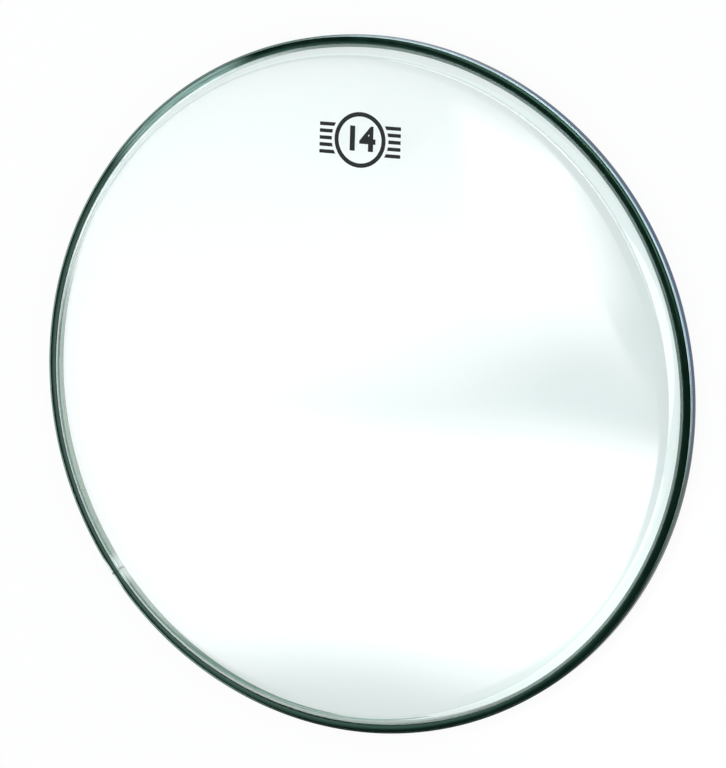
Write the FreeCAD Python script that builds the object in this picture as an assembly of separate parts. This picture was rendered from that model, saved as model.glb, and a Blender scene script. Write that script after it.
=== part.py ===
import FreeCAD, Part
import math
import os

# Clear single-ply drum head for a 14 inch drum, lying on its hoop with the playing face up.
# The drum's axis is +Z, the hoop's bottom face is at z = 0 and +Y is the head's 12 o'clock side.
# Lengths are millimetres and angles are degrees, counted from +X towards +Y.

# The drum that the head fits.
shell_diameter = 355.6
shell_clearance = 0.95  # radial room between the shell and the hoop's inner wall

# Aluminium channel, open at the top, bent into a ring.
channel_width = 6.35
outer_wall_height = 5.7
outer_wall = 1.1
inner_wall = 1.55
inner_wall_rise = 1.2  # inner wall's top above the outer wall's
channel_floor = 1.0
foot_radius = 1.2  # lower corners, outside
root_radius = 0.5  # lower corners, inside
rim_radius = 0.35  # both edges of each wall's top

# Butt weld that closes the ring.
joint_angle = 219
weld_width = 0.9
weld_crown = 0.22  # height of the bead over the outer wall

# Polyester film: flat playing face, sloping collar and a punched tail that hangs in the channel.
film_thickness = 0.254
collar_height = 9.3  # playing face above the outer wall's top
flat_inset = 2.6  # edge of the flat inside the shell's outside
shoulder_radius = 3.0  # bend from the flat into the collar
knee_radius = 2.0  # bend from the collar into the tail
knee_rise = 0.4  # start of the tail above the inner wall's top
bend_arcs = 3  # arcs end to end in each bend, so that a mesh of the thin sheet keeps its skins apart
tail_gap = 0.25  # between the tail and the channel's inner wall
tail_lift = 0.6  # between the tail's lower edge and the channel's floor
lock_hole_diameter = 2.0
lock_hole_count = 72

# Cast resin that locks the tail in the channel.
outer_resin_drop = 0.5  # resin's edge below the outer wall's top
inner_resin_drop = 0.4  # resin's edge below the inner wall's top, where it climbs the film
resin_sag = 0.2  # hollow of the resin's surface below a straight line between its edges

# Cutting bodies reach this far past what they cut.
overrun = 2.0
# Shorter edges than this are left out of an outline.
least_edge = 1e-6

axis_point = FreeCAD.Vector(0, 0, 0)
axis_up = FreeCAD.Vector(0, 0, 1)

# Places worked out from the sizes above, as radii and heights.
shell_radius = shell_diameter / 2
hoop_inner_radius = shell_radius + shell_clearance
hoop_outer_radius = hoop_inner_radius + channel_width
groove_inner_radius = hoop_inner_radius + inner_wall
groove_outer_radius = hoop_outer_radius - outer_wall
tail_inner_radius = groove_inner_radius + tail_gap
tail_outer_radius = tail_inner_radius + film_thickness
flat_radius = shell_radius - flat_inset
tail_bottom = channel_floor + tail_lift
inner_wall_height = outer_wall_height + inner_wall_rise
knee_height = inner_wall_height + knee_rise
playing_height = outer_wall_height + collar_height
outer_resin_height = outer_wall_height - outer_resin_drop
inner_resin_height = inner_wall_height - inner_resin_drop


def section_point(radius, height):
    return FreeCAD.Vector(radius, 0, height)


def rounded_section(corners, arc_count=1):
    # A closed face in the XZ plane through (radius, height, rounding) corners.
    points = [section_point(radius, height) for radius, height, rounding in corners]
    stretches = []
    for index, (radius, height, rounding) in enumerate(corners):
        corner = points[index]
        back = (points[index - 1] - corner).normalize()
        ahead = (points[(index + 1) % len(points)] - corner).normalize()
        half_angle = back.getAngle(ahead) / 2
        reach = rounding / math.tan(half_angle)
        inset = rounding / math.sin(half_angle) - rounding
        middle = corner + (back + ahead).normalize() * inset if rounding else corner
        stretches.append((corner + back * reach, middle, corner + ahead * reach, rounding))
    edges = []
    for index, (first, middle, last, rounding) in enumerate(stretches):
        if rounding:
            arc = Part.Arc(first, middle, last)
            span = (arc.LastParameter - arc.FirstParameter) / arc_count
            starts = [arc.FirstParameter + span * piece for piece in range(arc_count)]
            edges += [arc.toShape(start, start + span) for start in starts]
        following = stretches[(index + 1) % len(stretches)][0]
        if last.distanceToPoint(following) > least_edge:
            edges.append(Part.LineSegment(last, following).toShape())
    return Part.Face(Part.Wire(edges))


def turned(section):
    return section.revolve(axis_point, axis_up, 360)


def channel_ring():
    # U section: up the outer wall, down into the groove, up the inner wall and back under.
    return turned(rounded_section([
        (hoop_outer_radius, 0, foot_radius),
        (hoop_outer_radius, outer_wall_height, rim_radius),
        (groove_outer_radius, outer_wall_height, rim_radius),
        (groove_outer_radius, channel_floor, root_radius),
        (groove_inner_radius, channel_floor, root_radius),
        (groove_inner_radius, inner_wall_height, rim_radius),
        (hoop_inner_radius, inner_wall_height, rim_radius),
        (hoop_inner_radius, 0, foot_radius),
    ]))


def joint_slab():
    # The parallel-sided gap between the channel's two ends, square to the ring.
    depth = channel_width + weld_crown + overrun + overrun
    height = max(outer_wall_height, inner_wall_height) + overrun + overrun
    corner = FreeCAD.Vector(hoop_inner_radius - overrun, -weld_width / 2, -overrun)
    slab = Part.makeBox(depth, weld_width, height, corner)
    slab.rotate(axis_point, axis_up, joint_angle)
    return slab


def weld_bead():
    # A low crown over the outer wall: a cylinder whose chord there is the weld's width.
    half_width = weld_width / 2
    bead_radius = (half_width ** 2 + weld_crown ** 2) / (2 * weld_crown)
    foot = FreeCAD.Vector(hoop_outer_radius + weld_crown - bead_radius, 0, foot_radius)
    bead = Part.makeCylinder(bead_radius, outer_wall_height - foot_radius - rim_radius, foot)
    keep_out = Part.makeCylinder(groove_outer_radius + outer_wall / 2, outer_wall_height + overrun)
    bead = bead.cut(keep_out)
    bead.rotate(axis_point, axis_up, joint_angle)
    return bead.common(joint_slab())


def channel_hoop(ring):
    return ring.cut(joint_slab())


def butt_weld(ring):
    return ring.common(joint_slab()).fuse(weld_bead()).removeSplitter()


def film_sheet():
    # The outer skin from the centre to the tail's edge, then back along the inner skin.
    lean = math.atan2(tail_outer_radius - flat_radius, playing_height - knee_height)
    shoulder_turn = math.pi / 2 - lean
    inner_flat_radius = flat_radius - film_thickness * math.tan(shoulder_turn / 2)
    inner_knee_height = knee_height - film_thickness * math.tan(lean / 2)
    under_height = playing_height - film_thickness
    return turned(rounded_section([
        (0, playing_height, 0),
        (flat_radius, playing_height, shoulder_radius),
        (tail_outer_radius, knee_height, knee_radius),
        (tail_outer_radius, tail_bottom, 0),
        (tail_inner_radius, tail_bottom, 0),
        (tail_inner_radius, inner_knee_height, knee_radius - film_thickness),
        (inner_flat_radius, under_height, shoulder_radius - film_thickness),
        (0, under_height, 0),
    ], bend_arcs))


def lock_punches():
    # Round punches through the tail, midway between its lower edge and the outer wall's resin edge.
    punch_height = (tail_bottom + outer_resin_height) / 2
    punch_start = section_point(tail_inner_radius - tail_gap / 2, punch_height)
    punch_length = tail_gap / 2 + film_thickness + tail_gap / 2
    punch = Part.makeCylinder(lock_hole_diameter / 2, punch_length, punch_start, FreeCAD.Vector(1, 0, 0))
    step = 360 / lock_hole_count
    punches = []
    for index in range(lock_hole_count):
        copy = punch.copy()
        copy.rotate(axis_point, axis_up, step / 2 + step * index)
        punches.append(copy)
    return punches


def clear_film():
    return film_sheet().cut(lock_punches())


def meniscus(inner_edge, outer_edge):
    # A disc whose lower arc hangs by the resin's sag below the line between two edges.
    chord = outer_edge - inner_edge
    half_chord = chord.Length / 2
    arc_radius = (half_chord ** 2 + resin_sag ** 2) / (2 * resin_sag)
    upward = FreeCAD.Vector(-chord.z, 0, chord.x).normalize()
    centre = (inner_edge + outer_edge) / 2 + upward * (arc_radius - resin_sag)
    circle = Part.makeCircle(arc_radius, centre, FreeCAD.Vector(0, 1, 0))
    return Part.Face(Part.Wire([circle]))


def cast_resin_ring(film):
    # The groove's own section, sloping up from the outer wall to the film and hollowed between them.
    section = rounded_section([
        (groove_inner_radius, channel_floor, root_radius),
        (groove_outer_radius, channel_floor, root_radius),
        (groove_outer_radius, outer_resin_height, 0),
        (tail_outer_radius, inner_resin_height, 0),
        (groove_inner_radius, inner_resin_height, 0),
    ])
    inner_edge = section_point(tail_outer_radius, inner_resin_height)
    outer_edge = section_point(groove_outer_radius, outer_resin_height)
    section = section.cut(meniscus(inner_edge, outer_edge))
    return turned(section.Faces[0]).cut(film)


def write_part(name, shape):
    shape.exportStep(os.path.join("parts", name + ".step"))
    print(name, "solids", len(shape.Solids), "volume", round(shape.Volume, 1), "valid", shape.isValid())


os.makedirs("parts", exist_ok=True)
ring = channel_ring()
film = clear_film()
write_part("channel_hoop", channel_hoop(ring))
write_part("butt_weld", butt_weld(ring))
write_part("clear_film", film)
write_part("cast_resin_ring", cast_resin_ring(film))
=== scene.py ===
import math

import bmesh
import bpy
from mathutils import Matrix, Quaternion, Vector


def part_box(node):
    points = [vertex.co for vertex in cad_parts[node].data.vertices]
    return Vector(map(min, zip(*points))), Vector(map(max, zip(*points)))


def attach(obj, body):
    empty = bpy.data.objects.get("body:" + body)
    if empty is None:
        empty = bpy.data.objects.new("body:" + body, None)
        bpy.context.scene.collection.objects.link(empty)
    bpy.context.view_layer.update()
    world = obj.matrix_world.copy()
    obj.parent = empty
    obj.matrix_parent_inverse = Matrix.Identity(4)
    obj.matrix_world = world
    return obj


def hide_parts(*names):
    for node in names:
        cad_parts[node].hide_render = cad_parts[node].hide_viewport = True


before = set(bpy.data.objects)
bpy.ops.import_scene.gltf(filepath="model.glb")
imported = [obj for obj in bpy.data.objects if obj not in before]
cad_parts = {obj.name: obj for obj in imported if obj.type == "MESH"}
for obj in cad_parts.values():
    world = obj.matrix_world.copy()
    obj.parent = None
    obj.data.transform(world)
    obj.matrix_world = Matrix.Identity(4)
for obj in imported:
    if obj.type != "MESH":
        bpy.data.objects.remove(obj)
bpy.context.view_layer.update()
print("frame loaded:", ", ".join(sorted(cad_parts)))

mm = 0.001
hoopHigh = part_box("channel_hoop")[1]
filmLow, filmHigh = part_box("clear_film")
resinLow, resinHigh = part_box("cast_resin_ring")
hoopRadius, innerTop = hoopHigh.x, hoopHigh.z
tailRadius, playingHeight = filmHigh.x, filmHigh.z
grooveRadius = resinHigh.x
creaseAngle = 40  # degrees; a sharper bend than this shows as an edge
mixA, mixB, mixOut = 6, 7, 2  # sockets of a Mix node that is set to colour


def putInScene(name, data):
    thing = bpy.data.objects.new(name, data)
    bpy.context.scene.collection.objects.link(thing)
    return thing


def direction(azimuth, elevation):
    # Unit vector, from degrees round the drum's axis and degrees above the floor
    turn, rise = math.radians(azimuth), math.radians(elevation)
    return Vector((math.cos(rise) * math.cos(turn), math.cos(rise) * math.sin(turn), math.sin(rise)))


# Meshes turned round the drum's axis

def roundedOutline(corners, arcSteps):
    # corners are (radius, height, rounding) in metres, in order round a closed section
    points = [Vector((radius, height)) for radius, height, rounding in corners]
    outline = []
    for index, (radius, height, rounding) in enumerate(corners):
        corner = points[index]
        if not rounding:
            outline.append(corner)
            continue
        back = (points[index - 1] - corner).normalized()
        ahead = (points[(index + 1) % len(points)] - corner).normalized()
        half = back.angle(ahead) / 2
        centre = corner + (back + ahead).normalized() * rounding / math.sin(half)
        start = corner + back * rounding / math.tan(half) - centre
        turn = start.angle_signed(corner + ahead * rounding / math.tan(half) - centre)
        for step in range(arcSteps + 1):
            swing = Matrix.Rotation(-turn * step / arcSteps, 2)
            outline.append(centre + swing @ start)
    return outline


def turnedMesh(name, outline, steps, firstAngle=0.0, sweep=math.tau, shape=None):
    # shape(radius, height, angle) may move a point of the section as it goes round
    whole = sweep >= math.tau
    mesh = bmesh.new()
    rows = []
    axisPoints = {}
    for step in range(steps if whole else steps + 1):
        angle = firstAngle + sweep * step / steps
        row = []
        for index, (radius, height) in enumerate(outline):
            if shape:
                radius, height = shape(radius, height, angle)
            if radius == 0.0 and index in axisPoints:
                row.append(axisPoints[index])
                continue
            vertex = mesh.verts.new((radius * math.cos(angle), radius * math.sin(angle), height))
            if radius == 0.0:
                axisPoints[index] = vertex
            row.append(vertex)
        rows.append(row)
    for step in range(steps):
        near, far = rows[step], rows[(step + 1) % len(rows)]
        for index in range(len(outline)):
            after = (index + 1) % len(outline)
            corners = [near[index], near[after], far[after], far[index]]
            corners = list(dict.fromkeys(corners))
            if len(corners) > 2:
                mesh.faces.new(corners)
    if not whole:
        mesh.faces.new(rows[0])
        mesh.faces.new(list(reversed(rows[-1])))
    bmesh.ops.recalc_face_normals(mesh, faces=mesh.faces)
    data = bpy.data.meshes.new(name)
    mesh.to_mesh(data)
    mesh.free()
    data.shade_smooth()
    data.set_sharp_from_angle(angle=math.radians(creaseAngle))
    return putInScene(name, data)


def dress(piece, material, nodeName=None):
    piece.data.materials.append(material)
    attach(piece, "root")
    if nodeName:
        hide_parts(nodeName)


# Tools for materials

def hexColour(code):
    # sRGB hex to linear
    channels = [int(code[place:place + 2], 16) / 255 for place in (1, 3, 5)]
    linear = [c / 12.92 if c <= 0.04045 else ((c + 0.055) / 1.055) ** 2.4 for c in channels]
    return (*linear, 1.0)


def addNode(tree, kind, settings=None, links=None):
    node = tree.nodes.new(kind)
    for key, value in (settings or {}).items():
        if isinstance(key, int) or key in node.inputs:
            node.inputs[key].default_value = value
        else:
            setattr(node, key, value)
    for key, socket in (links or {}).items():
        tree.links.new(socket, node.inputs[key])
    return node


def newMaterial(name):
    material = bpy.data.materials.new(name)
    material.use_nodes = True
    material.node_tree.nodes.clear()
    return material, material.node_tree


def ringCoordinates(tree, runLength, lineSpacing):
    # Places on the ring, with a pattern space whose lines run round it with no seam
    place = addNode(tree, "ShaderNodeTexCoord")
    flat = addNode(tree, "ShaderNodeVectorMath", {"operation": "MULTIPLY", 1: (1, 1, 0)},
                   {0: place.outputs["Object"]})
    radius = addNode(tree, "ShaderNodeVectorMath", {"operation": "LENGTH"}, {0: flat.outputs[0]})
    outward = addNode(tree, "ShaderNodeVectorMath", {"operation": "NORMALIZE"}, {0: flat.outputs[0]})
    along = addNode(tree, "ShaderNodeVectorMath", {"operation": "SCALE", "Scale": hoopRadius / runLength},
                    {0: outward.outputs[0]})
    height = addNode(tree, "ShaderNodeSeparateXYZ", None, {0: place.outputs["Object"]})
    across = addNode(tree, "ShaderNodeMath", {"operation": "ADD"},
                     {0: radius.outputs["Value"], 1: height.outputs["Z"]})
    lines = addNode(tree, "ShaderNodeMath", {"operation": "DIVIDE", 1: lineSpacing}, {0: across.outputs[0]})
    lift = addNode(tree, "ShaderNodeCombineXYZ", None, {"Z": lines.outputs[0]})
    pattern = addNode(tree, "ShaderNodeVectorMath", {"operation": "ADD"},
                      {0: along.outputs[0], 1: lift.outputs[0]})
    return {
        "place": place.outputs["Object"],
        "pattern": pattern.outputs[0],
        "radius": radius.outputs["Value"],
        "height": height.outputs["Z"],
        "outward": outward.outputs[0],
    }


def sideMask(tree, ring, angle, spread):
    # Rises to 1 at one side of the ring, between two cosines of the angle from that side
    start, full = spread
    towards = addNode(tree, "ShaderNodeVectorMath", {"operation": "DOT_PRODUCT", 1: direction(angle, 0)},
                      {0: ring["outward"]})
    mask = addNode(tree, "ShaderNodeMapRange", {
        "interpolation_type": "SMOOTHSTEP", "From Min": start, "From Max": full},
        {"Value": towards.outputs["Value"]})
    return mask.outputs[0]


# Hoop

hoop = {
    "channelWidth": 6.35 * mm,
    "innerWallWidth": 1.55 * mm,
    "innerRise": 1.2 * mm,  # the inner wall's top over the outer wall's, under the film
    "floor": resinLow.z,
    "footRound": 1.2 * mm,
    "rootRound": 0.5 * mm,
    "rimRound": 0.35 * mm,
    "arcSteps": 6,
    "steps": 480,
    "jointAngle": 219,  # degrees round the ring
    "jointWidth": 0.9 * mm,
    # outside of the outer wall, on the side with painted light: its tones stand in for a bright reflection,
    # and the crest's is a painted highlight
    "wallFootShade": "#233a58",
    "wall": "#33517a",
    "crest": "#c4dae0",
    "paintedLitSide": 46,  # degrees round the ring, where the outside is painted bright as if lit from that side
    "paintedLitSpread": (0.5, 0.85),  # cosines of the angle from that side, from painted shade to painted light
    # outside of the outer wall, elsewhere: painted shade, as if it reflected something dark
    "shadedSideFoot": "#1b2726",
    "shadedSideWall": "#2a3635",
    "shadedSideCrest": "#6b837a",
    "paintedDarkCrest": "#25322d",
    "darkCrestSide": 295,  # where the rim is painted dark, as shade
    "darkCrestSpread": (0.6, 0.86),
    # inner wall, with painted shade at its rim and foot
    "innerWall": "#5f8c78",
    "innerCrestShade": "#526a61",
    "innerFootShade": "#416857",
    "innerFloorReflection": "#e6f0ec",
    "paleInsideSide": 138,  # where the inside is painted almost white, as a reflection of the white floor
    "paleInsideSpread": (0.78, 0.98),
    # heights and widths of these tones
    "footShadeHeight": (1.6 * mm, 4.4 * mm),  # between which the painted shade at the foot clears
    "innerFootShadeHeight": (0.8 * mm, 2.2 * mm),
    "crestDepth": (0.3 * mm, 0.08 * mm),  # below the rims, where the wall's tone turns into the crest's
    "wallChange": 1.0 * mm,  # width over which the inner wall's tones turn into the outer wall's
    "dressed": "#bccdc7",
    "dressedSpan": (3.4, 0.8),  # degrees from the joint between which the metal was ground bright
    # stains and rolling lines
    "stain": "#4a5654",
    "stainSize": 25 * mm,
    "stainDetail": 4.0,
    "stainSpread": (0.5, 0.8),
    "stainMost": 0.4,
    "runLength": 40 * mm,
    "lineSpacing": 0.6 * mm,  # rolling lines are about 0.05 mm apart, drawn coarser to show
    "lineDetail": 3.0,
    "lineSpread": (0.3, 0.7),
    "lineTone": (0.8, 1.1),
    "lineDepth": 0.012 * mm,
    "lineStrength": 0.6,
    "roughness": (0.24, 0.38),
}
hoopInner = hoopRadius - hoop["channelWidth"]
grooveInner = hoopInner + hoop["innerWallWidth"]
outerTop = innerTop - hoop["innerRise"]
jointAngle = math.radians(hoop["jointAngle"])
jointTurn = hoop["jointWidth"] / hoopRadius


def outsideTones(tree, ring):
    # Outer wall, with light and shade painted in place of reflections: bluish on one side with its rim
    # painted as a highlight, painted shade elsewhere and darker still on the rim at another side, painted
    # shade towards its foot
    # mask of the side painted as lit; away from it the wall gets painted shade
    paintedLit = sideMask(tree, ring, hoop["paintedLitSide"], hoop["paintedLitSpread"])
    foot = addNode(tree, "ShaderNodeMix", {
        "data_type": "RGBA", mixA: hexColour(hoop["shadedSideFoot"]), mixB: hexColour(hoop["wallFootShade"])},
        {0: paintedLit})
    upright = addNode(tree, "ShaderNodeMix", {
        "data_type": "RGBA", mixA: hexColour(hoop["shadedSideWall"]), mixB: hexColour(hoop["wall"])},
        {0: paintedLit})
    # painted shade towards the foot
    fullShade, clear = hoop["footShadeHeight"]
    rise = addNode(tree, "ShaderNodeMapRange", {"From Min": fullShade, "From Max": clear},
                   {"Value": ring["height"]})
    wall = addNode(tree, "ShaderNodeMix", {"data_type": "RGBA"},
                   {0: rise.outputs[0], mixA: foot.outputs[mixOut], mixB: upright.outputs[mixOut]})
    # mask of the side where the rim is painted dark, as shade
    darkCrestMask = sideMask(tree, ring, hoop["darkCrestSide"], hoop["darkCrestSpread"])
    shadedCrestTone = addNode(tree, "ShaderNodeMix", {
        "data_type": "RGBA", mixA: hexColour(hoop["shadedSideCrest"]), mixB: hexColour(hoop["paintedDarkCrest"])},
        {0: darkCrestMask})
    # the crest's pale tone on the lit side is a painted highlight
    crest = addNode(tree, "ShaderNodeMix", {"data_type": "RGBA", mixB: hexColour(hoop["crest"])},
                    {0: paintedLit, mixA: shadedCrestTone.outputs[mixOut]})
    below, above = hoop["crestDepth"]
    rim = addNode(tree, "ShaderNodeMapRange", {"From Min": outerTop - below, "From Max": outerTop - above},
                  {"Value": ring["height"]})
    outside = addNode(tree, "ShaderNodeMix", {"data_type": "RGBA"},
                      {0: rim.outputs[0], mixA: wall.outputs[mixOut], mixB: crest.outputs[mixOut]})
    return outside.outputs[mixOut]


def insideTones(tree, ring):
    # Inner wall: grey-green, with painted shade at its foot and its rim, and almost white at one side, where
    # a reflection of the white floor is painted
    # painted shade on the inner rim
    below, above = hoop["crestDepth"]
    rim = addNode(tree, "ShaderNodeMapRange", {"From Min": innerTop - below, "From Max": innerTop - above},
                  {"Value": ring["height"]})
    wall = addNode(tree, "ShaderNodeMix", {
        "data_type": "RGBA", mixA: hexColour(hoop["innerWall"]), mixB: hexColour(hoop["innerCrestShade"])},
        {0: rim.outputs[0]})
    # painted shade at the inner foot
    fullShade, clear = hoop["innerFootShadeHeight"]
    rise = addNode(tree, "ShaderNodeMapRange", {"From Min": fullShade, "From Max": clear},
                   {"Value": ring["height"]})
    innerFootShaded = addNode(tree, "ShaderNodeMix", {"data_type": "RGBA", mixA: hexColour(hoop["innerFootShade"])},
                     {0: rise.outputs[0], mixB: wall.outputs[mixOut]})
    # mask of the side where a reflection of the white floor is painted, almost white
    pale = sideMask(tree, ring, hoop["paleInsideSide"], hoop["paleInsideSpread"])
    inside = addNode(tree, "ShaderNodeMix", {"data_type": "RGBA", mixB: hexColour(hoop["innerFloorReflection"])},
                     {0: pale, mixA: innerFootShaded.outputs[mixOut]})
    return inside.outputs[mixOut]


def rolledAluminium():
    # Mill-finish channel, rolled and bent: grey metal with fine lines along its length, a few dull stains
    # and a paler patch where the joint was ground
    material, tree = newMaterial("aluminium channel, rolled")
    ring = ringCoordinates(tree, hoop["runLength"], hoop["lineSpacing"])
    lines = addNode(tree, "ShaderNodeTexNoise", {"Scale": 1.0, "Detail": hoop["lineDetail"]},
                    {"Vector": ring["pattern"]})
    clouds = addNode(tree, "ShaderNodeTexNoise", {
        "Scale": 1 / hoop["stainSize"], "Detail": hoop["stainDetail"]}, {"Vector": ring["place"]})
    outer = addNode(tree, "ShaderNodeMapRange", {
        "From Min": grooveRadius - hoop["wallChange"], "From Max": grooveRadius}, {"Value": ring["radius"]})
    # the walls' tones carry painted light and shade
    metal = addNode(tree, "ShaderNodeMix", {"data_type": "RGBA"},
                    {0: outer.outputs[0], mixA: insideTones(tree, ring), mixB: outsideTones(tree, ring)})
    dressedSpread = [math.cos(math.radians(angle)) for angle in hoop["dressedSpan"]]
    ground = sideMask(tree, ring, hoop["jointAngle"], dressedSpread)
    dressed = addNode(tree, "ShaderNodeMix", {"data_type": "RGBA", mixB: hexColour(hoop["dressed"])},
                      {0: ground, mixA: metal.outputs[mixOut]})
    start, full = hoop["stainSpread"]
    stainAmount = addNode(tree, "ShaderNodeMapRange", {
        "From Min": start, "From Max": full, "To Max": hoop["stainMost"]}, {"Value": clouds.outputs["Fac"]})
    stained = addNode(tree, "ShaderNodeMix", {"data_type": "RGBA", mixB: hexColour(hoop["stain"])},
                      {0: stainAmount.outputs[0], mixA: dressed.outputs[mixOut]})
    start, full = hoop["lineSpread"]
    dark, light = hoop["lineTone"]
    lineTone = addNode(tree, "ShaderNodeMapRange", {
        "From Min": start, "From Max": full, "To Min": dark, "To Max": light},
        {"Value": lines.outputs["Fac"]})
    toned = addNode(tree, "ShaderNodeMix", {"data_type": "RGBA", "blend_type": "MULTIPLY", 0: 1.0},
                    {mixA: stained.outputs[mixOut], mixB: lineTone.outputs[0]})
    low, high = hoop["roughness"]
    rough = addNode(tree, "ShaderNodeMapRange", {
        "From Min": start, "From Max": full, "To Min": low, "To Max": high},
        {"Value": lines.outputs["Fac"]})
    bump = addNode(tree, "ShaderNodeBump", {"Strength": hoop["lineStrength"], "Distance": hoop["lineDepth"]},
                   {"Height": lines.outputs["Fac"]})
    shader = addNode(tree, "ShaderNodeBsdfPrincipled", {"Metallic": 1.0}, {
        "Base Color": toned.outputs[mixOut], "Roughness": rough.outputs[0], "Normal": bump.outputs[0]})
    addNode(tree, "ShaderNodeOutputMaterial", None, {"Surface": shader.outputs[0]})
    return material


def channelOutline():
    # Up the outer wall, down into the groove, up the inner wall and back under
    return roundedOutline([
        (hoopRadius, 0.0, hoop["footRound"]),
        (hoopRadius, outerTop, hoop["rimRound"]),
        (grooveRadius, outerTop, hoop["rimRound"]),
        (grooveRadius, hoop["floor"], hoop["rootRound"]),
        (grooveInner, hoop["floor"], hoop["rootRound"]),
        (grooveInner, innerTop, hoop["rimRound"]),
        (hoopInner, innerTop, hoop["rimRound"]),
        (hoopInner, 0.0, hoop["footRound"]),
    ], hoop["arcSteps"])


channel = turnedMesh("channelHoop", channelOutline(), hoop["steps"],
                     jointAngle + jointTurn / 2, math.tau - jointTurn)
dress(channel, rolledAluminium(), "channel_hoop")
print("hoop turned")


# Weld

weld = {
    "crown": 0.22 * mm,
    "ripples": 5,
    "rippleDepth": 0.04 * mm,
    "footShare": 0.5,  # share of the foot's rounding above which the bead starts
    "steps": 12,
    "pale": "#8d9697",
    "burnt": "#3c4345",
    "grain": 0.5 * mm,
    "grainDetail": 4.0,
    "grainDepth": 0.05 * mm,
    "grainStrength": 0.8,
    "roughness": (0.4, 0.7),
}


def weldedAluminium():
    # Ground butt weld: darker and duller than the rolled metal beside it, with a grainy skin
    material, tree = newMaterial("aluminium weld, ground")
    place = addNode(tree, "ShaderNodeTexCoord")
    grain = addNode(tree, "ShaderNodeTexNoise", {"Scale": 1 / weld["grain"], "Detail": weld["grainDetail"]},
                    {"Vector": place.outputs["Object"]})
    colour = addNode(tree, "ShaderNodeMix", {
        "data_type": "RGBA", mixA: hexColour(weld["burnt"]), mixB: hexColour(weld["pale"])},
        {0: grain.outputs["Fac"]})
    low, high = weld["roughness"]
    rough = addNode(tree, "ShaderNodeMapRange", {"To Min": low, "To Max": high},
                    {"Value": grain.outputs["Fac"]})
    bump = addNode(tree, "ShaderNodeBump", {
        "Strength": weld["grainStrength"], "Distance": weld["grainDepth"]}, {"Height": grain.outputs["Fac"]})
    shader = addNode(tree, "ShaderNodeBsdfPrincipled", {"Metallic": 1.0}, {
        "Base Color": colour.outputs[mixOut], "Roughness": rough.outputs[0], "Normal": bump.outputs[0]})
    addNode(tree, "ShaderNodeOutputMaterial", None, {"Surface": shader.outputs[0]})
    return material


def weldShape(radius, height, angle):
    # The bead swells over the outer wall and dies away at both ends of the gap
    across = (angle - jointAngle) / jointTurn * 2
    swell = max(0.0, 1 - across * across)
    onWall = radius > hoopRadius - hoop["rimRound"] and height > hoop["footRound"] * weld["footShare"]
    ripple = weld["rippleDepth"] * math.sin(height / outerTop * weld["ripples"] * math.tau)
    if onWall:
        radius += (weld["crown"] - weld["rippleDepth"] + ripple) * swell
    return radius, height


bead = turnedMesh("buttWeld", channelOutline(), weld["steps"],
                  jointAngle - jointTurn / 2, jointTurn, weldShape)
dress(bead, weldedAluminium(), "butt_weld")
print("weld laid in the joint")


# Film

film = {
    "thickness": 0.254 * mm,
    "flatRadius": 175.2 * mm,
    "shoulderRound": 3.0 * mm,
    "kneeRound": 2.0 * mm,
    "kneeRise": 0.4 * mm,  # start of the tail above the inner wall's top
    "bulge": 0.2 * mm,  # the collar swells this much out of a straight slope
    "bulgeRound": 60 * mm,
    "arcSteps": 10,
    "steps": 480,
    "rings": 22,
    # gentle waves of the untensioned face: length, direction in degrees, phase in degrees, depth
    "waves": [
        (230 * mm, 20, 40, 0.30 * mm),
        (160 * mm, 105, 200, 0.20 * mm),
        (110 * mm, 65, 310, 0.08 * mm),
    ],
    "waveFade": 4,  # power by which the waves die away towards the shoulder
    "settle": 0.02 * mm,  # the face lies this much under the print's top
    "tint": "#f7fcfd",
    "shadowTint": "#f4faf8",
    "ior": 1.6,
    "hazeSize": 60 * mm,
    "hazeDetail": 3.0,
    "hazeSpread": (0.35, 0.75),
    "haze": (0.0, 0.035),
}
kneeHeight = innerTop + film["kneeRise"]


def clearPolyester():
    # Clear biaxial polyester, heat-formed: the eye sees straight through it, a tenth of the light is
    # mirrored and its depth is a faint blue-green
    material, tree = newMaterial("polyester film, heat-formed")
    place = addNode(tree, "ShaderNodeTexCoord")
    clouds = addNode(tree, "ShaderNodeTexNoise", {
        "Scale": 1 / film["hazeSize"], "Detail": film["hazeDetail"]}, {"Vector": place.outputs["Object"]})
    (start, full), (low, high) = film["hazeSpread"], film["haze"]
    haze = addNode(tree, "ShaderNodeMapRange", {
        "From Min": start, "From Max": full, "To Min": low, "To Max": high},
        {"Value": clouds.outputs["Fac"]})
    glass = addNode(tree, "ShaderNodeBsdfPrincipled", {
        "Base Color": hexColour(film["tint"]), "IOR": film["ior"], "Transmission Weight": 1.0},
        {"Roughness": haze.outputs[0]})
    letThrough = addNode(tree, "ShaderNodeBsdfTransparent", {"Color": hexColour(film["shadowTint"])})
    rays = addNode(tree, "ShaderNodeLightPath")
    lampThrough = addNode(tree, "ShaderNodeMixShader", None, {
        0: rays.outputs["Is Shadow Ray"], 1: glass.outputs[0], 2: letThrough.outputs[0]})
    lightThrough = addNode(tree, "ShaderNodeMixShader", None, {
        0: rays.outputs["Is Diffuse Ray"], 1: lampThrough.outputs[0], 2: letThrough.outputs[0]})
    addNode(tree, "ShaderNodeOutputMaterial", None, {"Surface": lightThrough.outputs[0]})
    return material


def waveDrop(x, y):
    # How far the playing face lies under its highest level; the waves die away at the shoulder
    drop = film["settle"]
    share = math.hypot(x, y) / film["flatRadius"]
    fade = max(0.0, 1 - share ** film["waveFade"])
    for length, heading, phase, depth in film["waves"]:
        turn = math.radians(heading)
        run = (x * math.cos(turn) + y * math.sin(turn)) / length
        drop += fade * depth * (1 + math.sin(run * math.tau + math.radians(phase))) / 2
    return drop


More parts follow.
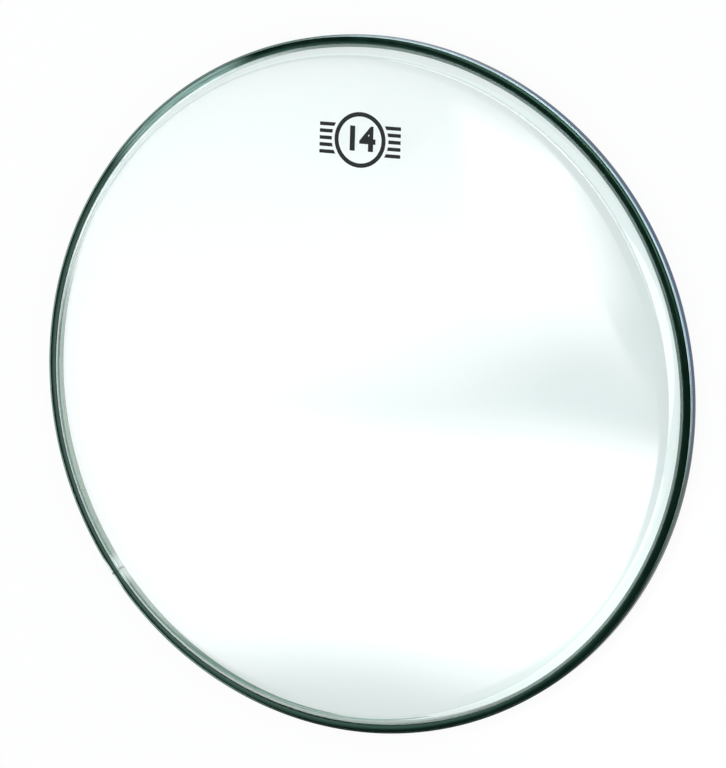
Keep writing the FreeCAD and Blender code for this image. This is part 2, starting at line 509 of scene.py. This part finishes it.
def filmOutline():
    # The outer skin from the axis to the tail's edge, then back along the inner skin
    thickness = film["thickness"]
    innerTail = tailRadius - thickness
    under = playingHeight - thickness
    lean = math.atan2(tailRadius - film["flatRadius"], playingHeight - kneeHeight)
    innerFlat = film["flatRadius"] - thickness * math.tan((math.pi / 2 - lean) / 2)
    innerKnee = kneeHeight - thickness * math.tan(lean / 2)
    edge = film["flatRadius"] - 2 * film["shoulderRound"]
    swellOut, swellUp = film["bulge"] * math.cos(lean), film["bulge"] * math.sin(lean)
    outerSwell = ((film["flatRadius"] + tailRadius) / 2 + swellOut,
                  (playingHeight + kneeHeight) / 2 + swellUp)
    innerSwell = ((innerFlat + innerTail) / 2 + swellOut, (under + innerKnee) / 2 + swellUp)
    radii = [edge * ring / film["rings"] for ring in range(film["rings"] + 1)]
    top = [(radius, playingHeight, 0.0) for radius in radii]
    bottom = [(radius, under, 0.0) for radius in reversed(radii)]
    return roundedOutline(top + [
        (film["flatRadius"], playingHeight, film["shoulderRound"]),
        (*outerSwell, film["bulgeRound"]),
        (tailRadius, kneeHeight, film["kneeRound"]),
        (tailRadius, filmLow.z, 0.0),
        (innerTail, filmLow.z, 0.0),
        (innerTail, innerKnee, film["kneeRound"] - thickness),
        (*innerSwell, film["bulgeRound"] - thickness),
        (innerFlat, under, film["shoulderRound"] - thickness),
    ] + bottom, film["arcSteps"])


def filmShape(radius, height, angle):
    if height > playingHeight - 2 * film["thickness"]:
        height -= waveDrop(radius * math.cos(angle), radius * math.sin(angle))
    return radius, height


sheet = turnedMesh("clearFilm", filmOutline(), film["steps"], shape=filmShape)
dress(sheet, clearPolyester(), "clear_film")
print("film formed")


# Resin

resin = {
    "outerDrop": 0.5 * mm,  # resin's edge below the outer wall's top
    "sag": 0.2 * mm,
    "slack": 0.01 * mm,  # room round the film's tail
    "wander": 0.08 * mm,  # how unevenly the resin climbs round the ring
    "wanderWaves": [(7, 1.0, 0.0), (17, 0.6, 1.3), (41, 0.5, 0.4)],  # count round the ring, share, phase
    "arcSteps": 12,
    "steps": 480,
    "deep": "#040d09",
    "thin": "#0b1d16",
    "gloss": "#98e0c2",
    "paintedReflection": "#a3bdba",
    "reflectionPlace": 128,  # degrees round the ring, where a pale patch is painted as a reflection
    "reflectionSpread": (0.955, 0.995),  # cosines of the angle from that place, from no painted reflection to full
    "streakLength": 60 * mm,
    "streakWidth": 1.3 * mm,
    "streakDetail": 2.0,
    "streakSpread": (0.4, 0.6),
    "cloudSize": 9 * mm,
    "cloudDetail": 4.0,
    "cloudSpread": (0.3, 0.7),
    "pitSize": 1.4 * mm,
    "pitShare": 0.3,  # width of a pit's slope, as a share of the pits' spacing
    "pitDepth": 0.03 * mm,
    "pitStrength": 0.5,
    "roughness": (0.1, 0.26),
    "ior": 1.5,
    "specular": 0.62,
}
resinEdge = outerTop - resin["outerDrop"]


def castResin():
    # Black-green epoxy, poured and left to level: glossy, a little cloudy and pitted by bubbles, with a pale
    # streaky patch at one place that is a painted reflection
    material, tree = newMaterial("epoxy resin, poured")
    ring = ringCoordinates(tree, resin["streakLength"], resin["streakWidth"])
    clouds = addNode(tree, "ShaderNodeTexNoise", {
        "Scale": 1 / resin["cloudSize"], "Detail": resin["cloudDetail"]}, {"Vector": ring["place"]})
    poured = addNode(tree, "ShaderNodeMix", {
        "data_type": "RGBA", mixA: hexColour(resin["deep"]), mixB: hexColour(resin["thin"])},
        {0: clouds.outputs["Fac"]})
    # mask for a pale streaky patch painted as a reflection
    near = sideMask(tree, ring, resin["reflectionPlace"], resin["reflectionSpread"])
    streaks = addNode(tree, "ShaderNodeTexNoise", {"Scale": 1.0, "Detail": resin["streakDetail"]},
                      {"Vector": ring["pattern"]})
    start, full = resin["streakSpread"]
    streak = addNode(tree, "ShaderNodeMapRange", {"From Min": start, "From Max": full},
                     {"Value": streaks.outputs["Fac"]})
    reflectionShare = addNode(tree, "ShaderNodeMath", {"operation": "MULTIPLY"}, {0: near, 1: streak.outputs[0]})
    colour = addNode(tree, "ShaderNodeMix", {"data_type": "RGBA", mixB: hexColour(resin["paintedReflection"])},
                     {0: reflectionShare.outputs[0], mixA: poured.outputs[mixOut]})
    (start, full), (low, high) = resin["cloudSpread"], resin["roughness"]
    rough = addNode(tree, "ShaderNodeMapRange", {
        "From Min": start, "From Max": full, "To Min": low, "To Max": high},
        {"Value": clouds.outputs["Fac"]})
    pits = addNode(tree, "ShaderNodeTexVoronoi", {"Scale": 1 / resin["pitSize"]}, {"Vector": ring["place"]})
    hollows = addNode(tree, "ShaderNodeMapRange", {"From Min": 0.0, "From Max": resin["pitShare"]},
                      {"Value": pits.outputs["Distance"]})
    bump = addNode(tree, "ShaderNodeBump", {"Strength": resin["pitStrength"], "Distance": resin["pitDepth"]},
                   {"Height": hollows.outputs[0]})
    shader = addNode(tree, "ShaderNodeBsdfPrincipled", {
        "IOR": resin["ior"], "Specular IOR Level": resin["specular"],
        "Specular Tint": hexColour(resin["gloss"])}, {
        "Base Color": colour.outputs[mixOut], "Roughness": rough.outputs[0], "Normal": bump.outputs[0]})
    addNode(tree, "ShaderNodeOutputMaterial", None, {"Surface": shader.outputs[0]})
    return material


def resinOutline():
    # The groove's section with a slot for the film's tail, and a hollow top that climbs from the outer wall
    outerTail = tailRadius + resin["slack"]
    innerTail = tailRadius - film["thickness"] - resin["slack"]
    slotFloor = filmLow.z - resin["slack"]
    outline = roundedOutline([
        (grooveInner, hoop["floor"], hoop["rootRound"]),
        (grooveRadius, hoop["floor"], hoop["rootRound"]),
        (grooveRadius, resinEdge, 0.0),
        (grooveInner, resinHigh.z, 0.0),
    ], hoop["arcSteps"])[:-1]
    for step in range(1, resin["arcSteps"] + 1):
        share = step / resin["arcSteps"]
        hollow = resin["sag"] * (1 - (2 * share - 1) ** 2)
        outline.append(Vector((grooveRadius + (outerTail - grooveRadius) * share,
                               resinEdge + (resinHigh.z - resinEdge) * share - hollow)))
    outline += [Vector((outerTail, slotFloor)), Vector((innerTail, slotFloor)),
                Vector((innerTail, resinHigh.z)), Vector((grooveInner, resinHigh.z))]
    return outline


def resinShape(radius, height, angle):
    # The top sinks by up to the wander, in a pattern that repeats round the ring
    if height > resinEdge - resin["sag"]:
        uneven = sum(share * math.sin(count * angle + phase) for count, share, phase in resin["wanderWaves"])
        most = sum(share for count, share, phase in resin["wanderWaves"])
        height -= resin["wander"] * (1 + uneven / most) / 2
    return radius, height


pour = turnedMesh("castResinRing", resinOutline(), resin["steps"], shape=resinShape)
dress(pour, castResin(), "cast_resin_ring")
print("resin poured")


# Print

mark = {
    "reach": 131.5 * mm,  # centre of the print from the drum's axis, towards 12 o'clock
    "numerals": "14",  # the drum's diameter in inches
    "numeralHeight": 12.5 * mm,
    "capShare": 0.72,  # height of a numeral in the built-in face, as a share of its size
    "weight": 0.6 * mm,  # added to the numerals' outlines
    "ringDiameter": 29.0 * mm,
    "ringLine": 2.3 * mm,
    "ringPoints": 72,
    "barCount": 5,
    "barPitch": 3.6 * mm,
    "barLine": 1.9 * mm,
    "barEnd": 23.0 * mm,  # from the print's centre
    "barGap": 1.6 * mm,  # between the ring and the bars
    "inkDepth": 0.018 * mm,
    "sunk": 0.012 * mm,  # how far the ink reaches into the film
    "merge": 0.0018 * mm,  # corners closer than this are one
    "full": "#17191c",
    "thin": "#34383c",
    "speckle": 0.7 * mm,
    "speckleDetail": 2.0,
    "speckleSpread": (0.5, 0.8),
    "roughness": (0.45, 0.65),
    "specular": 0.3,
}


def screenInk():
    # Screen-printed black ink: flat, nearly matt, a little thinner in specks
    material, tree = newMaterial("screen ink, printed")
    place = addNode(tree, "ShaderNodeTexCoord")
    speckle = addNode(tree, "ShaderNodeTexNoise", {
        "Scale": 1 / mark["speckle"], "Detail": mark["speckleDetail"]}, {"Vector": place.outputs["Object"]})
    start, full = mark["speckleSpread"]
    thin = addNode(tree, "ShaderNodeMapRange", {"From Min": start, "From Max": full},
                   {"Value": speckle.outputs["Fac"]})
    colour = addNode(tree, "ShaderNodeMix", {
        "data_type": "RGBA", mixA: hexColour(mark["full"]), mixB: hexColour(mark["thin"])},
        {0: thin.outputs[0]})
    low, high = mark["roughness"]
    rough = addNode(tree, "ShaderNodeMapRange", {"To Min": low, "To Max": high},
                    {"Value": speckle.outputs["Fac"]})
    shader = addNode(tree, "ShaderNodeBsdfPrincipled", {"Specular IOR Level": mark["specular"]}, {
        "Base Color": colour.outputs[mixOut], "Roughness": rough.outputs[0]})
    addNode(tree, "ShaderNodeOutputMaterial", None, {"Surface": shader.outputs[0]})
    return material


def printInk(name, curve, material):
    # Raises flat outlines into thin ink that follows the film
    curve.extrude = (mark["inkDepth"] + mark["sunk"]) / 2
    source = putInScene("inkOutline", curve)
    bpy.context.view_layer.update()
    data = bpy.data.meshes.new_from_object(source)
    bpy.data.objects.remove(source)
    data.name = name
    mesh = bmesh.new()
    mesh.from_mesh(data)
    bmesh.ops.remove_doubles(mesh, verts=mesh.verts, dist=mark["merge"])
    bmesh.ops.recalc_face_normals(mesh, faces=mesh.faces)
    middle = (mark["inkDepth"] - mark["sunk"]) / 2
    for vertex in mesh.verts:
        x, y = vertex.co.x, vertex.co.y + mark["reach"]
        vertex.co = (x, y, playingHeight - waveDrop(x, y) + middle + vertex.co.z)
    mesh.to_mesh(data)
    mesh.free()
    data.materials.clear()
    dress(putInScene(name, data), material)


def badgeOutlines():
    # A ring, with bars stacked on both sides of it and cut to its curve
    curve = bpy.data.curves.new("badgeOutline", "CURVE")
    curve.dimensions = "2D"
    curve.fill_mode = "BOTH"
    outer = mark["ringDiameter"] / 2
    loops = []
    for radius in (outer, outer - mark["ringLine"]):
        turns = [math.tau * index / mark["ringPoints"] for index in range(mark["ringPoints"])]
        loops.append([(radius * math.cos(turn), radius * math.sin(turn)) for turn in turns])
    for index in range(mark["barCount"]):
        y = (index - (mark["barCount"] - 1) / 2) * mark["barPitch"]
        low, high = y - mark["barLine"] / 2, y + mark["barLine"] / 2
        clear = outer + mark["barGap"]
        lowStart, highStart = math.sqrt(clear ** 2 - low ** 2), math.sqrt(clear ** 2 - high ** 2)
        for way in (-1, 1):
            loops.append([(way * lowStart, low), (way * mark["barEnd"], low),
                          (way * mark["barEnd"], high), (way * highStart, high)])
    for loop in loops:
        spline = curve.splines.new("POLY")
        spline.points.add(len(loop) - 1)
        for point, (x, y) in zip(spline.points, loop):
            point.co = (x, y, 0, 1)
        spline.use_cyclic_u = True
    return curve


def numeralOutlines():
    curve = bpy.data.curves.new("numeralOutline", "FONT")
    curve.body = mark["numerals"]
    curve.align_x = "CENTER"
    curve.align_y = "CENTER"
    curve.size = mark["numeralHeight"] / mark["capShare"]
    curve.offset = mark["weight"]
    return curve


ink = screenInk()
printInk("printedBadge", badgeOutlines(), ink)
printInk("printedNumerals", numeralOutlines(), ink)
print("print laid on")


# Camera

camera = {
    "azimuth": 22.5,  # degrees from +X towards +Y
    "elevation": 64.18,
    "distance": 2.2,
    "aim": (-0.74 * mm, 1.24 * mm, 0.0),
    "roll": -108.75,
    "lens": 196.1,
    "sensor": 36.0,
}


def placeCamera():
    back = direction(camera["azimuth"], camera["elevation"])
    right = Vector((0, 0, 1)).cross(back).normalized()
    up = back.cross(right)
    turn = Matrix.Rotation(math.radians(camera["roll"]), 3, back)
    data = bpy.data.cameras.new("studioCamera")
    data.sensor_fit = "VERTICAL"
    data.sensor_height = camera["sensor"]
    data.lens = camera["lens"]
    eye = putInScene("studioCamera", data)
    axes = Matrix((turn @ right, turn @ up, back)).transposed()
    eyePoint = Vector(camera["aim"]) + back * camera["distance"]
    eye.matrix_world = Matrix.Translation(eyePoint) @ axes.to_4x4()
    bpy.context.scene.camera = eye
    return eyePoint


eyePlace = placeCamera()
print("camera placed at", [round(value, 3) for value in eyePlace])


# Floor and world

studio = {
    "floorSize": 12.0,
    "floorDrop": 0.02 * mm,
    "floorColour": "#f4f5f5",
    "floorGlow": 0.93,  # share of plain white that the camera meets on the floor
    "throughGlow": 0.56,  # the same for the floor seen through the film
    "worldColour": "#dcf2ed",
    "worldLight": (1.8, 0.16),  # at the horizon and overhead
    "worldTurn": (0.38, 0.66),  # heights, as sines, between which the surround darkens
    "panelColour": "#fff6f7",
    "panelCells": 10,
}


def layFloor():
    half = studio["floorSize"] / 2
    data = bpy.data.meshes.new("studioFloor")
    corners = [(-half, -half), (half, -half), (half, half), (-half, half)]
    data.from_pydata([(x, y, -studio["floorDrop"]) for x, y in corners], [], [(0, 1, 2, 3)])
    material, tree = newMaterial("paper floor, plain")
    rays = addNode(tree, "ShaderNodeLightPath")
    seen = addNode(tree, "ShaderNodeMath", {"operation": "MAXIMUM"}, {
        0: rays.outputs["Is Camera Ray"], 1: rays.outputs["Is Glossy Ray"]})
    bare = addNode(tree, "ShaderNodeMath", {"operation": "MULTIPLY", 1: studio["floorGlow"]},
                   {0: seen.outputs[0]})
    # Rays through the film count as glossy too, so their share is brought down from the bare floor's
    share = addNode(tree, "ShaderNodeMath", {
        "operation": "MULTIPLY_ADD", 1: studio["throughGlow"] - studio["floorGlow"]},
        {0: rays.outputs["Is Transmission Ray"], 2: bare.outputs[0]})
    paper = addNode(tree, "ShaderNodeBsdfDiffuse", {"Color": hexColour(studio["floorColour"])})
    white = addNode(tree, "ShaderNodeEmission", {"Strength": 1.0})
    both = addNode(tree, "ShaderNodeMixShader", None, {
        0: share.outputs[0], 1: paper.outputs[0], 2: white.outputs[0]})
    addNode(tree, "ShaderNodeOutputMaterial", None, {"Surface": both.outputs[0]})
    data.materials.append(material)
    putInScene("studioFloor", data)


def lightWorld():
    # A bright surround at the horizon that darkens overhead, and plain white to the camera
    world = bpy.data.worlds.new("studioWorld")
    world.use_nodes = True
    tree = world.node_tree
    tree.nodes.clear()
    rays = addNode(tree, "ShaderNodeLightPath")
    way = addNode(tree, "ShaderNodeTexCoord")
    rise = addNode(tree, "ShaderNodeSeparateXYZ", None, {0: way.outputs["Generated"]})
    (walls, ceiling), (low, high) = studio["worldLight"], studio["worldTurn"]
    light = addNode(tree, "ShaderNodeMapRange", {
        "interpolation_type": "SMOOTHSTEP", "From Min": low, "From Max": high,
        "To Min": walls, "To Max": ceiling}, {"Value": rise.outputs["Z"]})
    soft = addNode(tree, "ShaderNodeBackground", {"Color": hexColour(studio["worldColour"])},
                   {"Strength": light.outputs[0]})
    white = addNode(tree, "ShaderNodeBackground", {"Strength": 1.0})
    both = addNode(tree, "ShaderNodeMixShader", None, {
        0: rays.outputs["Is Camera Ray"], 1: soft.outputs[0], 2: white.outputs[0]})
    addNode(tree, "ShaderNodeOutputWorld", None, {"Surface": both.outputs[0]})
    bpy.context.scene.world = world


# Soft panels, given in mm by the places on the playing face where the camera meets their reflection
panels = {
    "lowerPanel": {
        "corners": [(-180, -3), (190, 0), (190, -132), (-180, -197)],
        "light": 3.2,
        "distance": 1.25,
        "softEdges": {"left": 0.13, "right": 0.05, "top": 0.19, "bottom": 0.27},
    },
    "upperPanel": {
        "corners": [(-240, 420), (95, 165), (175, 54), (-240, -300)],
        "light": 3.1,
        "distance": 1.35,
        "softEdges": {"left": 0.05, "right": 0.07, "top": 0.66, "bottom": 0.33},
    },
    "windowPanel": {
        "corners": [(39, 156), (110, 128), (169, -2), (56, 2)],
        "light": 3.3,
        "distance": 1.15,
        "softEdges": {"left": 0.25, "right": 0.09, "top": 0.12, "bottom": 0.66},
    },
    "ceilingPanel": {
        "corners": [(-260, 290), (65, 290), (262, -230), (-260, -230)],
        "light": 0.45,
        "distance": 1.5,
        "softEdges": {"left": 0.03, "right": 0.03, "top": 0.05, "bottom": 0.05},
    },
}
# Each edge of a panel: the axis across it, where it lies on that axis, and which way is inwards
panelEdges = {"left": ("X", 0, 1), "right": ("X", 1, -1), "top": ("Y", 0, 1), "bottom": ("Y", 1, -1)}


def mirrorPlace(x, y, planePoint, planeNormal):
    # Where the ray from the camera, mirrored by the playing face at (x, y), meets a panel's plane
    facePoint = Vector((x * mm, y * mm, playingHeight))
    ray = facePoint - eyePlace
    ray.z = -ray.z
    reach = (planePoint - facePoint).dot(planeNormal) / ray.dot(planeNormal)
    return facePoint + ray * reach


def panelMesh(name, corners):
    # A grid between four corners, with a map from 0 to 1 across it and down it
    cells = studio["panelCells"]
    points, faces = [], []
    for row in range(cells + 1):
        for column in range(cells + 1):
            u, v = column / cells, row / cells
            points.append(corners[0].lerp(corners[1], u).lerp(corners[3].lerp(corners[2], u), v))
    for row in range(cells):
        for column in range(cells):
            first = row * (cells + 1) + column
            faces.append((first, first + 1, first + cells + 2, first + cells + 1))
    data = bpy.data.meshes.new(name)
    data.from_pydata(points, [], faces)
    spread = data.uv_layers.new(name="spread")
    for loop in data.loops:
        row, column = divmod(loop.vertex_index, cells + 1)
        spread.data[loop.index].uv = (column / cells, row / cells)
    return data


def panelLight(name, panel):
    # Glows in the middle and clears away towards each edge
    material, tree = newMaterial(name + " light")
    place = addNode(tree, "ShaderNodeUVMap", {"uv_map": "spread"})
    parts = addNode(tree, "ShaderNodeSeparateXYZ", None, {0: place.outputs[0]})
    fade = None
    for edge, (axis, rim, inwards) in panelEdges.items():
        slope = addNode(tree, "ShaderNodeMapRange", {
            "interpolation_type": "SMOOTHSTEP", "From Min": rim,
            "From Max": rim + inwards * panel["softEdges"][edge]}, {"Value": parts.outputs[axis]})
        if fade:
            slope = addNode(tree, "ShaderNodeMath", {"operation": "MULTIPLY"}, {0: fade, 1: slope.outputs[0]})
        fade = slope.outputs[0]
    clear = addNode(tree, "ShaderNodeBsdfTransparent")
    glow = addNode(tree, "ShaderNodeEmission", {
        "Color": hexColour(studio["panelColour"]), "Strength": panel["light"]})
    both = addNode(tree, "ShaderNodeMixShader", None, {0: fade, 1: clear.outputs[0], 2: glow.outputs[0]})
    addNode(tree, "ShaderNodeOutputMaterial", None, {"Surface": both.outputs[0]})
    return material


def hangPanels():
    centre = Vector((0, 0, playingHeight))
    outward = centre - eyePlace
    outward.z = -outward.z
    outward.normalize()
    for name, panel in panels.items():
        planePoint = centre + outward * panel["distance"]
        corners = [mirrorPlace(x, y, planePoint, outward) for x, y in panel["corners"]]
        data = panelMesh(name, corners)
        data.materials.append(panelLight(name, panel))
        softbox = putInScene(name, data)
        softbox.visible_camera = False


# Soft round-ended lamps, by direction in degrees and size in metres; turn rolls one about its own beam
lamps = {
    "windowLamp": {
        "azimuth": 12, "elevation": 17, "distance": 2.4, "width": 2.4, "height": 1.3, "turn": 0,
        "power": 14.0,
    },
    "sideLamp": {
        "azimuth": -50, "elevation": 10, "distance": 2.4, "width": 2.6, "height": 0.8, "turn": 0,
        "power": 7.0,
    },
    "fillLamp": {
        "azimuth": 112, "elevation": 66, "distance": 2.2, "width": 1.0, "height": 1.0, "turn": 0,
        "power": 5.5,
    },
    "nearLamp": {
        "azimuth": 63, "elevation": 70.4, "distance": 2.4, "width": 1.5, "height": 0.25, "turn": -20,
        "power": 7.5,
    },
    "backLamp": {
        "azimuth": 202.5, "elevation": 40, "distance": 2.4, "width": 3.0, "height": 0.6, "turn": 0,
        "power": 5.0,
    },
}


def hangLamps():
    for name, lamp in lamps.items():
        way = direction(lamp["azimuth"], lamp["elevation"])
        data = bpy.data.lights.new(name, "AREA")
        data.shape = "ELLIPSE"
        data.size = lamp["width"]
        data.size_y = lamp["height"]
        data.energy = lamp["power"]
        holder = putInScene(name, data)
        holder.location = way * lamp["distance"]
        roll = Quaternion((0, 0, 1), math.radians(lamp["turn"]))
        holder.rotation_euler = (way.to_track_quat("Z", "Y") @ roll).to_euler()


# A soft spot through the film on the paper inside the hoop, where the collar shows white
spot = {
    "place": (-0.475, 0.475, 0.85),
    "aimAngle": -40,  # degrees round the ring
    "cone": 9,  # degrees
    "blend": 1.0,
    "radius": 0.05,
    "power": 60.0,
}


def hangSpot():
    target = direction(spot["aimAngle"], 0) * hoopInner
    data = bpy.data.lights.new("rimSpot", "SPOT")
    data.spot_size = math.radians(spot["cone"])
    data.spot_blend = spot["blend"]
    data.shadow_soft_size = spot["radius"]
    data.energy = spot["power"]
    holder = putInScene("rimSpot", data)
    holder.location = spot["place"]
    holder.rotation_euler = (target - holder.location).to_track_quat("-Z", "Y").to_euler()


layFloor()
lightWorld()
hangPanels()
hangLamps()
hangSpot()
bpy.context.scene.view_settings.view_transform = "Standard"
print("studio lit")
